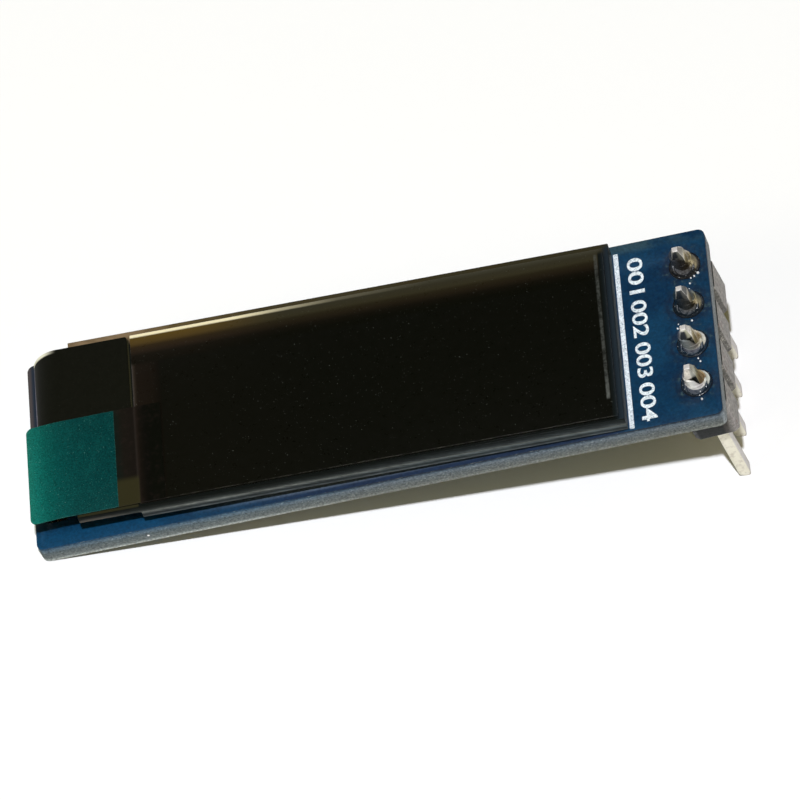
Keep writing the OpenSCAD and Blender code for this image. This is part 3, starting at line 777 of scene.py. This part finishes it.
# Painted highlight: a white line along the slanted back edge, fading out along the glass.
slant_highlight = v.step(10.75, 10.86) * v.step(11.12, 11.02)
highlight_fading = u.ramp((3.5, 1), (9.3, 0.9), (12, 0.36), (15, 0.07), (20, 0))
contact = u.band(29.28, 0.13, 0.05) * v.band(6.0, 4.75, 4.55)
contact_tone = 0.14 + 0.40 * worn + 0.46 * v.step(3.2, 1.4)
margin = u.scale((29.42, 16, 19, 17), (29.56, 18, 23, 23), (29.68, 29, 35, 39),
                 (29.9, 36, 45, 51))
edges = sheet.wear(0.05) * sheet.noise(0.3, 4, 0.7).step(0.44, 0.56)
black = layered(
    mottle.mix((9, 10, 5), (14, 14, 9)),
    (u.step(16, 5) * 0.6, (16, 15, 9)),
    (u.step(5.15, 4.95), brown),
    (v.step(8.9, 9.2) * u.step(30.2, 29.3), u.step(12.5, 6).mix(olive, amber)),
    (slant_highlight * highlight_fading, (255, 243, 204)),
    (contact * contact_tone, (88, 91, 87)),
    (u.step(29.38, 29.46) * v.step(10.9, 10.6), margin),
    (dust * 0.45, (120, 124, 116)),
    (edges * 0.7, (104, 102, 94)))
sheet.feed(Base_Color=black, Roughness=mottle.ramp((0.2, 0.24), (0.8, 0.36)))
sheet.bump(mottle, 0.003, 0.4)
rounded_copy("polarizer", 0.02, sheet)
rounded_copy("protective_film", 0.015, sheet)

# %% [markdown]
# ## Black tape over the flexible circuit
#
# Light-shielding tape is thin black film with a dull, faintly brown surface. Where it turns down
# at the left end a narrow lilac-grey highlight is painted on it, and a white highlight is painted
# along its back edge there.

# %% Tape
tape = Finish("black_shielding_tape", {"Specular IOR Level": 0.02, "Roughness": 0.5})
u, v, _ = tape.on_face(board_face)
crinkle = tape.noise(0.3, 5, 0.7)
pores = tape.noise(0.07, 2)
# Painted highlights: a lilac-grey line where the tape faces left, and a white line along its back
# edge at the left end.
lilac_highlight = crinkle.step(0.35, 0.6).mix((104, 102, 122), (142, 140, 160))
back_edge_highlight = v.step(10.80, 10.92) * u.step(2.3, 1.4)
tape.feed(Base_Color=layered(
    crinkle.mix((14, 15, 9), (25, 25, 19)),
    (pores.step(0.66, 0.76) * 0.3, (60, 60, 54)),
    (tape.facing(to_left).step(0.955, 0.99), lilac_highlight),
    (back_edge_highlight, (250, 246, 222))))
tape.bump(crinkle * 0.7 + pores * 0.3, 0.012, 0.5)
rounded_copy("light_shield_tape", 0.015, tape)

# %% [markdown]
# ## Pull tab
#
# The teal tab is coloured film printed on clear film: pull it and the protective film comes off.
# The colour is a fine grainy print, lighter where the tab curls down at the free end and pale
# along its cut edge. The clear end sticks to the dark film, so it is nearly as dark itself.

# %% Teal film
teal = Finish("teal_tab_film", {"Specular IOR Level": 0.06})
u, _, _ = teal.on_face(board_face)
patch = teal.noise(0.7, 4, 0.65)
sparkle = teal.noise(0.07, 2, 0.5, seed=6.0).step(0.68, 0.74)
cut = teal.wear(0.05) * patch.step(0.3, 0.55)
along_tab = u.scale((0.2, 30, 114, 99), (0.8, 15, 101, 91), (1.4, 7, 82, 75), (2.0, 5, 71, 67),
                    (2.9, 4, 62, 60), (4.4, 3, 56, 55))
printed = (patch.step(0.45, 0.75) * 0.25).mix(along_tab, (12, 86, 80))
printed = layered(printed.grained(0.40, 0.08, 2, 0.6), (sparkle * 0.35, (120, 190, 176)),
                  (cut * 0.4, (96, 150, 136)))
teal.feed(Base_Color=printed, Roughness=patch.gloss(0.45, 0.6))
teal.bump(patch, 0.006, 0.5)
rounded_copy("pull_tab", 0.012, teal)

# %% Clear end of the tab
clear = Finish("clear_tab_film", {"Specular IOR Level": 0.08})
u, v, _ = clear.on_face(glass_face)
smear = clear.noise(0.35, 5, 0.7)
# The lighter stop at 3.5 mm is a painted highlight along the edge of the sheet under the film.
tint = u.scale((2.4, 18, 25, 20), (2.8, 24, 21, 16), (3.42, 23, 19, 15), (3.5, 38, 33, 29),
               (3.6, 28, 22, 17), (3.72, 20, 16, 11), (4.0, 12, 11, 7), (4.4, 9, 10, 5))
tint = layered(tint, (smear.step(0.5, 0.75) * 0.3, (44, 32, 28)),
               (v.step(2.0, 1.55) * u.step(3.62, 3.5) * 0.85, (50, 47, 27)),
               (u.band(5.0, 0.08, 0.02) * smear.step(0.45, 0.6) * 0.3, (50, 48, 42)))
clear.feed(Base_Color=tint, Roughness=smear.gloss(0.3, 0.45))
clear.bump(smear, 0.004, 0.4)
dress(clear, "tab_adhesive")
print("tab finishes:", teal.material.name, clear.material.name)

# %% [markdown]
# ## Header housing
#
# The strip under the board is moulded black plastic, snapped off a longer one, with a notch
# between every two pins. Its front end is painted dark in the board's shade and pale past the
# board's end, and the notch faces that face the front are painted a lighter grey where light falls.
# Its long side is polished by the mould, and the white of the table that it mirrors is painted on
# it as grey, with dust and rust-brown flecks.

# %% Moulded black plastic
plastic = Finish("moulded_black_plastic", {"Specular IOR Level": 0.15})
u, v, _ = plastic.on_face(board_face)
pebble = plastic.noise(0.18, 4, 0.6)
scuff = plastic.noise(0.35, 4, 0.75).step(0.5, 0.64)
rust = plastic.noise(0.5, 3, 0.6, seed=4.0).step(0.60, 0.68)
# Painted reflection of the white table on the long side, with dust and rust-brown flecks.
side_reflection_and_dust = layered(pebble.step(0.35, 0.65).mix((136, 133, 130), (166, 162, 158)),
                (scuff * 0.5, (200, 196, 190)), (rust * 0.45, (112, 76, 66)))
# Painted light: notch faces that face the front are a lighter grey.
lit_notch_faces = plastic.facing(to_front).step(0.3, 0.6) * v.step(1.7, 2.1)
# Painted shade and light on the front end: dark in the board's shade, pale past the board's end.
front_end_shade_and_light = u.scale((37.4, 52, 49, 46), (37.65, 80, 76, 72), (37.85, 128, 124, 120),
                  (38.05, 156, 151, 148))
tone = layered(
    pebble.mix((8, 14, 16), (26, 32, 32)),
    (lit_notch_faces, scuff.mix((96, 94, 88), (156, 152, 144))),
    (v.step(1.7, 1.3) * u.step(37.35, 37.5), front_end_shade_and_light),
    (plastic.facing(to_right).step(0.62, 0.9), side_reflection_and_dust)).grained(0.45, 0.22)
plastic.feed(Base_Color=(plastic.wear(0.08) * 0.3).mix(tone, (140, 136, 130)),
             Roughness=pebble.gloss(0.28, 0.5))
plastic.bump(pebble, 0.015, 0.5)
rounded_copy("header_housing", 0.06, plastic)

# %% [markdown]
# ## Pins
#
# The pins are square brass wire under a pale plating, with tapered ends, and drawn, so fine lines
# run along them. Below the board they are clean, their fronts painted a little lighter. Above it
# solder and flux have climbed up each one to its own height, with painted reflection and shade over
# them: black low on the front, a painted dark reflection, golden brown on the side that faces the
# right end, painted lighter where that side lies in shade, and bright where a skin of solder
# reaches the tip. One recipe makes all four, given what each has on its front and up its side.

# %% Plated pins
def pin_finish(name, cap, left, right, foot, foot_top, side):
    """Plating, flux and painted light: the front's cap, left and right, its foot up to foot_top,
    and its side.
    """
    plated = Finish(name, {"Metallic": 0.35, "Specular IOR Level": 0.4})
    u, v, w = plated.on_face(board_face)
    across = u - hole_u + w * math.tan(header_lean)
    along_wire = plated.node("ShaderNodeMapping", None, {
        0: plated.places(), 2: (0, -lean_of(board_face) - header_lean, 0), 3: (1, 1, 0.04)})
    drawn = plated.node("ShaderNodeTexNoise", None, {
        "Vector": along_wire, "Scale": 1 / (0.05 * mm), "Detail": 3.0})
    stain = plated.noise(0.3, 4, 0.65)
    front = plated.facing(to_front).step(0.6, 0.8)
    right_side = plated.facing(to_right).step(0.5, 0.75)
    # Below the board: pale plating, its front painted lighter.
    metal_with_painted_light = layered(front.mix((232, 227, 224), (254, 249, 230)),
                    (stain.step(0.5, 0.72) * 0.5, (190, 178, 158)))
    # Painted dark reflection: black low on the front, up to foot_top.
    painted_dark_foot = (w - across * 0.5 - (stain - 0.5) * 0.5).step(foot_top + 0.12, foot_top - 0.08)
    fluxed = layered(left, (w.step(1.52, 1.62), cap), (across.step(-0.05, 0.1), right),
                     (painted_dark_foot, foot))
    # Up the side that faces the right end: tones painted lighter where it lies in shade.
    side_with_painted_light = (w + (stain - 0.5) * 0.25).scale(*side)
    upper = layered(metal_with_painted_light, (right_side, side_with_painted_light), (front, fluxed),
                    (stain.step(0.55, 0.7) * 0.35, (196, 190, 178)),
                    (stain.step(0.45, 0.3) * 0.4, (50, 48, 44)))
    plated.feed(Base_Color=w.step(-0.6, 0.0).mix(metal_with_painted_light, upper),
                Roughness=drawn.gloss(0.28, 0.45))
    plated.bump(drawn, 0.006, 0.5)
    return plated


# Side tones of each pin: golden brown, painted lighter where the side lies in shade.
brown_up = ((0.5, 160, 148, 112), (0.9, 204, 194, 160), (1.12, 232, 228, 210),
            (1.35, 162, 158, 146), (1.65, 134, 130, 124))
grey_up = ((0.5, 160, 150, 122), (0.9, 208, 200, 180), (1.12, 222, 216, 204),
           (1.3, 90, 90, 88), (1.65, 112, 114, 112))
bright_up = ((0.5, 160, 150, 112), (0.9, 190, 178, 144), (1.1, 226, 220, 198),
             (1.3, 250, 246, 236), (1.6, 204, 200, 196), (1.7, 100, 96, 88))
olive_up = ((0.5, 146, 130, 98), (0.9, 152, 144, 108), (1.1, 158, 154, 126),
            (1.35, 184, 184, 168), (1.65, 146, 142, 130))
# For each pin: the front's cap, left and right, its foot, painted dark as a reflection, the height
# of that foot, and its side's tones.
pin_coats = (
    ((36, 42, 42), (34, 38, 42), (104, 104, 94), (40, 34, 20), 0.9, brown_up),
    ((36, 46, 54), (28, 36, 44), (88, 88, 86), (60, 58, 52), 0.7, grey_up),
    ((214, 212, 200), (50, 54, 58), (186, 184, 160), (12, 16, 8), 1.0, bright_up),
    ((206, 198, 190), (230, 222, 210), (160, 160, 150), (6, 12, 8), 1.04, olive_up))
for i, coats in enumerate(pin_coats, 1):
    rounded_copy(f"pin_{i}", 0.03, pin_finish(f"plated_pin_{i}", *coats))

# %% [markdown]
# ## Solder
#
# Hand soldering leaves each joint different: the back two are full cones and the front two sank
# to a rim round the pin. Burnt flux is golden brown on the sides that face the right end and dark
# on the others, and reflection and shade are painted over it: golden and pale reflections on the
# cones, a dark reflection round the foot, a white highlight on the rims, black shade in the hollows
# and small white glints. The tones are laid by the direction from the pin, in degrees from the
# right end round to the back, so that they follow each joint's own shape.

# %% Solder with flux on it
rim_shift = Vector((0.05, 0.08))
rim_radius = 0.615
foot_radius = 0.66


def solder_finish(name, pin_v, sides, foot, rim=None, hollow=None):
    """Solder with tones round its pin, and for a sunken joint a rim and a hollow with theirs."""
    solder = Finish(name, {"Specular IOR Level": 0.4})
    u, v, _ = solder.on_face(board_face)
    ripple = solder.noise(0.16, 4, 0.6)
    along, across = u - hole_u, v - pin_v
    from_pin = (along * along + across * across).root()
    direction = across.sum("ARCTAN2", across, along) + (ripple - 0.5) * 0.9

    def round_pin(tones):
        return direction.scale(*[(math.radians(turn), *tone) for turn, *tone in tones])

    # Round the pin: flux tones with painted golden and pale reflections towards the right and back.
    body = round_pin(sides).grained(0.35, 0.12)
    # Round the foot: a painted dark reflection.
    body = from_pin.step(foot_radius, foot_radius + 0.12).mix(body, foot)
    # Painted glints: small white specks on the metal round the foot.
    metal_with_painted_light = solder.noise(0.12, 3, 0.7, seed=2.0).step(0.64, 0.70)
    metal_with_painted_light = metal_with_painted_light * from_pin.step(foot_radius, foot_radius + 0.08)
    # A painted white highlight on the rim, and painted shade in the hollow: black round the pin's
    # front, golden brown on the wall beyond.
    if rim:
        along, across = along - rim_shift.x, across - rim_shift.y
        from_middle = (along * along + across * across).root()
        inside = from_middle.step(rim_radius - 0.015, rim_radius - 0.075)
        body = inside.mix(body, round_pin(hollow))
        ring = from_middle.band(rim_radius, 0.10, 0.055)
        body = ring.mix(body, round_pin(rim))
        metal_with_painted_light = metal_with_painted_light * (1 - ring)
    body = (metal_with_painted_light * 0.8).mix(body, (226, 228, 230))
    solder.feed(Base_Color=body, Roughness=ripple.gloss(0.2, 0.4))
    solder.bump(ripple, 0.02, 0.5)
    return solder


print("rims", rim_radius, "mm and feet", foot_radius, "mm from the pin")

# %% Tones of each joint
# For each joint: the tones round the pin, the foot's tone, and for a sunken one the rim's and the
# hollow's tones, all flux with painted reflection, highlight and shade.
joints = (
    ("solder_cone_1",
     ((-180, 44, 50, 60), (-150, 58, 62, 68), (-105, 36, 34, 32), (-70, 34, 28, 18),
      (-48, 52, 44, 28), (-35, 156, 144, 112), (0, 140, 128, 96), (35, 152, 144, 122),
      (60, 176, 172, 164), (100, 150, 148, 146), (150, 58, 64, 72), (180, 44, 50, 60)),
     (34, 33, 32)),
    ("solder_cone_2",
     ((-180, 20, 38, 50), (-130, 28, 36, 42), (-90, 46, 46, 44), (-60, 34, 31, 20),
      (-44, 46, 40, 26), (-35, 148, 134, 102), (0, 134, 128, 100), (25, 110, 112, 102),
      (60, 70, 82, 96), (100, 76, 84, 90), (150, 36, 52, 66), (180, 20, 38, 50)),
     (22, 31, 38)),
    ("solder_pot_3",
     ((-180, 14, 28, 46), (-120, 18, 26, 38), (-70, 48, 48, 60), (-30, 84, 92, 96),
      (0, 48, 66, 70), (60, 150, 152, 150), (100, 120, 128, 132), (150, 50, 60, 76),
      (180, 26, 40, 58)),
     (24, 40, 54),
     ((-180, 50, 56, 66), (-125, 124, 130, 132), (-95, 118, 120, 116), (-60, 110, 104, 98),
      (-35, 170, 164, 146), (0, 230, 228, 214), (40, 252, 250, 240), (90, 206, 208, 204),
      (140, 100, 104, 114), (180, 50, 56, 66)),
     ((-180, 40, 44, 50), (-100, 50, 54, 48), (-60, 26, 26, 20), (-40, 60, 52, 38),
      (-25, 144, 128, 98), (30, 168, 150, 118), (60, 214, 208, 192), (180, 60, 62, 66))),
    ("solder_pot_4",
     ((-180, 32, 40, 54), (-90, 34, 40, 52), (-30, 60, 76, 78), (0, 50, 72, 74),
      (40, 120, 138, 142), (90, 118, 124, 108), (150, 82, 90, 102), (180, 44, 52, 66)),
     (26, 38, 50),
     ((-180, 96, 96, 102), (-150, 190, 186, 184), (-120, 246, 244, 238), (-90, 214, 212, 210),
      (-60, 180, 176, 176), (-35, 196, 192, 184), (0, 214, 222, 210), (40, 232, 236, 226),
      (90, 196, 196, 188), (140, 90, 92, 98), (180, 96, 96, 102)),
     ((-180, 120, 116, 116), (-130, 110, 108, 102), (-108, 14, 18, 16), (-50, 18, 14, 12),
      (-32, 90, 78, 58), (-15, 176, 150, 118), (30, 162, 140, 104), (70, 150, 140, 110),
      (180, 120, 116, 116))))
for i, (name, *tones) in enumerate(joints):
    dress(solder_finish(name, hole_v + (3 - i) * pin_step, *tones), f"solder_joint_{i + 1}")
    print(name, "has", len(tones), "sets of tones")

# %% [markdown]
# ## Spattered beads
#
# Solder spits when the flux boils, and the drops freeze on the mask as tiny beads. A bead is a
# ball that has settled: a sphere pressed down, cut off where it meets the board and given a
# spreading foot. One is modelled and the others are copies, each with its own mesh and size.

# %% Solder beads
beads = ((37.44, 9.20, 0.075), (37.22, 9.04, 0.055), (37.03, 8.95, 0.05), (36.95, 8.62, 0.055),
         (36.88, 8.27, 0.04), (36.85, 6.22, 0.06), (36.98, 3.73, 0.05), (37.08, 3.52, 0.055),
         (36.86, 1.38, 0.05), (36.95, 1.12, 0.06), (36.04, 5.88, 0.06), (36.10, 6.14, 0.04))
sunk_to = 0.35
flattened = 0.8
foot_height = 0.01
foot_spread = 1.18

# Painted glints: the beads are near white, so that each shows as a bright speck.
bead_glint_finish = Finish("frozen_solder_beads", {"Metallic": 0.25, "Roughness": 0.3})
bead_glint_finish.feed(Base_Color=bead_glint_finish.noise(0.08, 2).mix((214, 218, 222), (252, 252, 252)))
bead_glint_finish.bump(bead_glint_finish.noise(0.1, 2), 0.01, 0.3)

deselect()
bpy.ops.mesh.primitive_uv_sphere_add(segments=16, ring_count=10, radius=1.0,
                                     location=(0, 0, sunk_to))
first_bead = bpy.context.object
first_bead.name = "solder_bead_1"
bpy.ops.object.transform_apply(location=True)
bpy.ops.object.mode_set(mode="EDIT")
bpy.ops.mesh.select_all(action="SELECT")
bpy.ops.transform.resize(value=(1, 1, flattened))
bpy.ops.mesh.bisect(plane_co=(0, 0, 0.0), plane_no=(0, 0, 1), clear_inner=True, use_fill=True)
bpy.ops.object.mode_set(mode="OBJECT")
for vertex in first_bead.data.vertices:
    if vertex.co.z < foot_height:
        vertex.co.xy *= foot_spread
only(first_bead)
bpy.ops.object.shade_smooth_by_angle(angle=math.radians(60))
first_bead.data.materials.append(bead_glint_finish.material)
print("a bead has", len(first_bead.data.polygons), "faces")

# %% Scatter them
pieces = [first_bead]
for i in range(2, len(beads) + 1):
    piece = bpy.data.objects.new(f"solder_bead_{i}", first_bead.data.copy())
    bpy.context.scene.collection.objects.link(piece)
    pieces.append(piece)
for piece, (bead_u, bead_v, radius) in zip(pieces, beads):
    place = Matrix.Translation((bead_u, bead_v, 0)) @ Matrix.Scale(radius, 4)
    take_to(piece, board_face @ place)
    settle(piece)
print(len(pieces), "beads on the board")

# %% [markdown]
# ## What the screen and the board hide
#
# From the side and from below, other parts show: the seal between the panes, the foam that holds
# the screen, the bare driver chip, the flexible circuit with its copper fingers, and the small
# parts that make the display's supply. Each has its own plain material, whose soft patches change
# its tone and its relief together, and on most its gloss as well.

# %% Plain finishes
def patchy(name, settings, grain, first, second, relief, gloss=None):
    """A finish of two tones in soft patches. Relief is its depth in millimetres and strength."""
    finish = Finish(name, settings)
    patches = finish.noise(*grain)
    finish.feed(Base_Color=patches.mix(first, second))
    if gloss:
        finish.feed(Roughness=patches.gloss(*gloss))
    finish.bump(patches, *relief)
    return finish


bright = patchy("bright_solder", {"Metallic": 1.0}, (0.18, 3, 0.55),
                (196, 196, 190), (236, 236, 232), (0.02, 0.5), (0.1, 0.26))
dress(bright, "flex_solder", "component_solder")

tin = patchy("bright_tin_plate", {"Metallic": 1.0}, (0.3, 4, 0.6),
             (190, 190, 186), (226, 226, 222), (0.01, 0.4), (0.25, 0.45))
dress(tin, "capacitor_ends", "resistor_ends", "regulator_leads")

bare = patchy("bare_copper", {"Metallic": 1.0}, (0.4, 4, 0.6),
              (214, 150, 110), (168, 104, 70), (0.008, 0.4), (0.3, 0.5))
dress(bare, "flex_lands")

resin_seal = patchy("grey_resin_seal", {"Roughness": 0.35}, (0.5, 3),
                    (78, 84, 80), (98, 100, 94), (0.01, 0.4))
dress(resin_seal, "edge_seal")

layer = patchy("display_layer", {"Metallic": 0.9, "Roughness": 0.2}, (1.5, 2),
               (120, 122, 128), (150, 152, 156), (0.004, 0.3))
dress(layer, "emitting_layer")

drying = patchy("white_drying_sheet", {"Roughness": 0.9, "Specular IOR Level": 0.2},
                (0.15, 5, 0.7), (196, 196, 190), (222, 222, 218), (0.02, 0.5))
dress(drying, "drying_sheet")

silicon = patchy("bare_silicon_die", {"Metallic": 0.6}, (0.25, 3),
                 (70, 72, 80), (92, 94, 102), (0.003, 0.3), (0.12, 0.25))
dress(silicon, "driver_chip")
print("plain finishes:", [f.material.name for f in (bright, tin, bare, resin_seal, layer, drying)])

# %% Pads, flexible circuit and foam
pad = Finish("tinned_pad", {"Metallic": 0.8})
_, _, w = pad.on_face(board_face)
haze = pad.noise(0.2, 4, 0.6)
# The pad's top is darkened in patches.
darkened_top = w.step(-0.6, -0.2) * haze.step(0.74, 0.62)
pad.feed(Base_Color=darkened_top.mix(haze.mix((180, 180, 174), (216, 216, 212)), (44, 44, 48)),
         Roughness=haze.gloss(0.25, 0.45))
pad.bump(haze, 0.01, 0.4)
dress(pad, "hole_plating")

finger_width = 0.155
flexible = Finish("brown_flexible_circuit", {"Specular IOR Level": 0.5})
_, v, _ = flexible.on_face(board_face)
fingers = v.folded(finger_width).step(0.06, 0.09)
waves = flexible.noise(0.8, 3)
brown = waves.mix((82, 46, 14), (112, 66, 22))
flexible.feed(Base_Color=(fingers * 0.6).mix(brown, (156, 104, 52)),
              Roughness=waves.gloss(0.3, 0.42))
flexible.bump(fingers, 0.02, 0.5)
dress(flexible, "flex")

foam = Finish("dark_foam_pad", {"Roughness": 0.95, "Specular IOR Level": 0.1})
bubbles = foam.cells(0.16)
foam.feed(Base_Color=bubbles.step(0.1, 0.5).mix((22, 22, 24), (54, 54, 56)))
foam.bump(bubbles, 0.06, 0.9)
dress(foam, "panel_adhesive")
print("finger pitch:", round(2 * finger_width, 2), "mm")

# %% Small parts under the board
moulding = patchy("black_chip_moulding", {"Specular IOR Level": 0.4}, (0.06, 3, 0.7),
                  (26, 26, 28), (48, 48, 50), (0.015, 0.6), (0.55, 0.8))
rounded_copy("regulator_body", 0.04, moulding)

tan = patchy("tan_capacitor_ceramic", {"Specular IOR Level": 0.35}, (0.12, 4, 0.6),
             (150, 112, 74), (184, 146, 102), (0.01, 0.5), (0.45, 0.65))
rounded_copy("capacitor_bodies", 0.04, tan)

glaze = patchy("black_resistor_glaze", {"Specular IOR Level": 0.5}, (0.15, 3),
               (20, 20, 24), (36, 36, 42), (0.008, 0.4), (0.2, 0.35))
rounded_copy("resistor_bodies", 0.03, glaze)
print("finishes:", len([m for m in bpy.data.materials if m.users]))

# %% [markdown]
